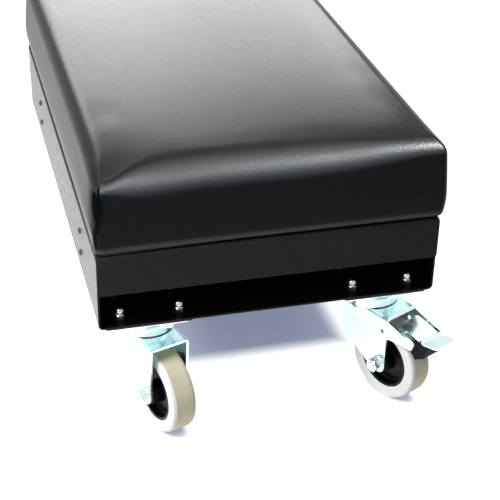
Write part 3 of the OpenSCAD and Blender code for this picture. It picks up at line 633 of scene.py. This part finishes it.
def stuffed(mesh, z_foot):
    """Places of the points of a coarse copy of the cover, and how each moves when the stuffing presses."""
    copy = bpy.data.objects.new("stuffing", mesh.copy())
    bpy.context.scene.collection.objects.link(copy)
    remesh = copy.modifiers.new("even", "REMESH")
    remesh.mode = "VOXEL"
    remesh.voxel_size = CLOTH_VOXEL
    bpy.context.view_layer.objects.active = copy
    bpy.ops.object.modifier_apply(modifier="even")
    held = copy.vertex_groups.new(name="held")
    held.add([v.index for v in copy.data.vertices if v.co.z < z_foot], 1.0, "REPLACE")
    cloth = copy.modifiers.new("cloth", "CLOTH")
    cloth.settings.vertex_group_mass = "held"
    cloth.settings.use_pressure = True
    cloth.settings.uniform_pressure_force = CLOTH_PRESSURE
    cloth.settings.effector_weights.gravity = 0
    cloth.settings.quality = CLOTH_QUALITY
    cloth.settings.tension_stiffness = CLOTH_STIFFNESS
    cloth.settings.compression_stiffness = CLOTH_STIFFNESS
    cloth.settings.bending_stiffness = CLOTH_BENDING
    cloth.collision_settings.use_self_collision = False
    for frame_number in range(1, CLOTH_FRAMES + 1):
        bpy.context.scene.frame_set(frame_number)
    before = np.array([v.co for v in copy.data.vertices])
    pressed = copy.evaluated_get(bpy.context.evaluated_depsgraph_get())
    after = np.array([v.co for v in pressed.data.vertices])
    bpy.context.scene.frame_set(1)
    bpy.data.objects.remove(copy)
    move = after - before
    length = np.maximum(np.linalg.norm(move, axis=1), 1e-9)
    return before, move * (np.minimum(length, CLOTH_MOVE) / length)[:, None]


def press(rings, coarse, move):
    """Moves the rings' points like the coarse copy round them."""
    tree = KDTree(len(coarse))
    for i, place in enumerate(coarse):
        tree.insert(place, i)
    tree.balance()
    flat = rings.reshape(-1, 3)
    for k, place in enumerate(flat.copy()):
        near = tree.find_n(place, CLOTH_NEAR)
        weights = np.array([math.exp(-((d / CLOTH_SPREAD) ** 2)) for _, _, d in near])
        flat[k] += weights @ move[[i for _, i, _ in near]] / weights.sum()


def make_cushion():
    low, high = (np.array(c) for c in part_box("cushion"))
    low += (CUSHION_SHIFT + BELLY, BELLY, 0)
    high += (CUSHION_SHIFT - BELLY, -BELLY, 0)
    outline, out, reach = perimeter(low, high, CORNER_R)
    rings, polish = cushion_rings(low, high, outline, out, reach)
    press(rings, *stuffed(ring_mesh("plain_cover", rings), low[2] + CLOTH_HELD))
    fold, foot = add_folds(rings, low, high, outline, reach)
    mesh = ring_mesh("cushion_cover", rings)
    store(mesh, "fold", fold)
    store(mesh, "foot", foot)
    store(mesh, "polish", polish)
    cover = bpy.data.objects.new("cushion_cover", mesh)
    bpy.context.scene.collection.objects.link(cover)
    cover.data.materials.append(MATERIALS["leatherette"])
    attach(cover, "chassis")
    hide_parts("cushion")
    return cover


# Stage, light and camera

def ray_switch(tree):
    """1 for camera, glossy and transmission rays, and 0 for the rays that light the object."""
    path = tree.nodes.new("ShaderNodeLightPath")
    total = path.outputs["Is Camera Ray"]
    for ray in ("Is Glossy Ray", "Is Transmission Ray"):
        total = calc(tree, "MAXIMUM", total, path.outputs[ray])
    return total


def fade(tree, value, start, width):
    """Rises smoothly from 0 to 1 over a width."""
    step = tree.nodes.new("ShaderNodeMapRange")
    step.interpolation_type = "SMOOTHSTEP"
    step.inputs["From Min"].default_value = start
    step.inputs["From Max"].default_value = start + width
    tree.links.new(value, step.inputs["Value"])
    return step.outputs[0]


def floor_glow(tree):
    """White all round. For the camera, a painted shade below the stool and a painted contact shade, from
    ambient occlusion, where something touches the floor.
    """
    split = tree.nodes.new("ShaderNodeSeparateXYZ")
    tree.links.new(tree.nodes.new("ShaderNodeTexCoord").outputs["Object"], split.inputs[0])
    beside = []
    for axis, middle, half in zip("XY", SHADE_MIDDLE, SHADE_HALF):
        away = calc(tree, "ABSOLUTE", calc(tree, "SUBTRACT", split.outputs[axis], middle))
        beside.append(fade(tree, away, half, SHADE_FADE))
    contact = tree.nodes.new("ShaderNodeAmbientOcclusion")
    contact.samples = CONTACT_SAMPLES
    contact.inputs["Distance"].default_value = CONTACT_REACH
    untouched = fade(tree, contact.outputs["AO"], *CONTACT_FADE)
    outside = calc(tree, "MINIMUM", calc(tree, "MAXIMUM", *beside), untouched)
    unseen = calc(tree, "SUBTRACT", 1.0, tree.nodes.new("ShaderNodeLightPath").outputs["Is Camera Ray"])
    # Painted shade: camera rays see the shade colour inside the box and near contacts, and white elsewhere
    tone = tree.nodes.new("ShaderNodeMix")
    tone.data_type = "RGBA"
    tree.links.new(calc(tree, "MAXIMUM", outside, unseen), tone.inputs["Factor"])
    tone.inputs[6].default_value = (*SHADE_COLOUR, 1)
    tone.inputs[7].default_value = (1, 1, 1, 1)
    return tone.outputs[2]


def make_floor():
    mesh = bpy.data.meshes.new("floor")
    h = FLOOR_SIZE / 2
    mesh.from_pydata([(-h, -h, 0), (h, -h, 0), (h, h, 0), (-h, h, 0)], [], [(0, 1, 2, 3)])
    floor = bpy.data.objects.new("floor", mesh)
    bpy.context.scene.collection.objects.link(floor)
    material = bpy.data.materials.new("floor")
    material.use_nodes = True
    tree = material.node_tree
    tree.nodes.remove(tree.nodes["Principled BSDF"])
    diffuse = tree.nodes.new("ShaderNodeBsdfDiffuse")
    diffuse.inputs["Color"].default_value = (*FLOOR_COLOUR, 1.0)
    glow = tree.nodes.new("ShaderNodeEmission")
    tree.links.new(floor_glow(tree), glow.inputs["Color"])
    both = tree.nodes.new("ShaderNodeAddShader")
    shown = tree.nodes.new("ShaderNodeMixShader")
    tree.links.new(diffuse.outputs[0], both.inputs[0])
    tree.links.new(glow.outputs[0], both.inputs[1])
    tree.links.new(ray_switch(tree), shown.inputs[0])
    tree.links.new(diffuse.outputs[0], shown.inputs[1])
    tree.links.new(both.outputs[0], shown.inputs[2])
    tree.links.new(shown.outputs[0], tree.nodes["Material Output"].inputs["Surface"])
    mesh.materials.append(material)


def make_world():
    world = bpy.data.worlds.new("studio")
    bpy.context.scene.world = world
    world.use_nodes = True
    tree = world.node_tree
    background = tree.nodes["Background"]
    strength = tree.nodes.new("ShaderNodeMapRange")
    strength.inputs["To Min"].default_value = WORLD_FILL
    strength.inputs["To Max"].default_value = 1.0
    tree.links.new(ray_switch(tree), strength.inputs["Value"])
    tree.links.new(strength.outputs["Result"], background.inputs["Strength"])
    background.inputs["Color"].default_value = (1, 1, 1, 1)


def softbox(name, direction, distance, width, height, radiance, colour, only_for=None):
    """A rectangular lamp that stands in a direction from the target and faces it. One that is for a single
    object shows only in that object's gloss."""
    lamp = bpy.data.lights.new(name, "AREA")
    lamp.shape = "RECTANGLE"
    lamp.size = width
    lamp.size_y = height
    lamp.energy = radiance * math.pi * width * height
    lamp.color = colour
    box = bpy.data.objects.new(name, lamp)
    if only_for is not None:
        box.visible_diffuse = False
        box.light_linking.receiver_collection = bpy.data.collections.new(name)
        box.light_linking.receiver_collection.objects.link(only_for)
    away = Vector(direction).normalized()
    box.location = LIGHT_TARGET + away * distance
    box.rotation_mode = "QUATERNION"
    box.rotation_quaternion = (-away).to_track_quat("-Z", "Y")
    bpy.context.scene.collection.objects.link(box)


def make_lights(cover):
    for name, lamp in LAMPS.items():
        softbox(name, *lamp)
    for name, lamp in CUSHION_LAMPS.items():
        softbox(name, *lamp, only_for=cover)


def make_camera():
    yaw, pitch, roll = (math.radians(a) for a in (CAMERA_YAW, CAMERA_PITCH, CAMERA_ROLL))
    forward = Vector((math.sin(yaw) * math.cos(pitch), math.cos(yaw) * math.cos(pitch), -math.sin(pitch)))
    level = Vector((math.cos(yaw), -math.sin(yaw), 0.0))
    lift = level.cross(forward)
    right = math.cos(roll) * level + math.sin(roll) * lift
    up = math.cos(roll) * lift - math.sin(roll) * level
    data = bpy.data.cameras.new("camera")
    data.lens = LENS
    data.sensor_width = SENSOR
    camera = bpy.data.objects.new("camera", data)
    turn = Matrix((right, up, -forward)).transposed()
    camera.matrix_world = Matrix.Translation(CAMERA_PLACE) @ turn.to_4x4()
    bpy.context.scene.collection.objects.link(camera)
    bpy.context.scene.camera = camera


make_camera()
make_world()
make_floor()
dress_cad_nodes()
make_lights(make_cushion())
bpy.context.scene.view_settings.view_transform = "Standard"
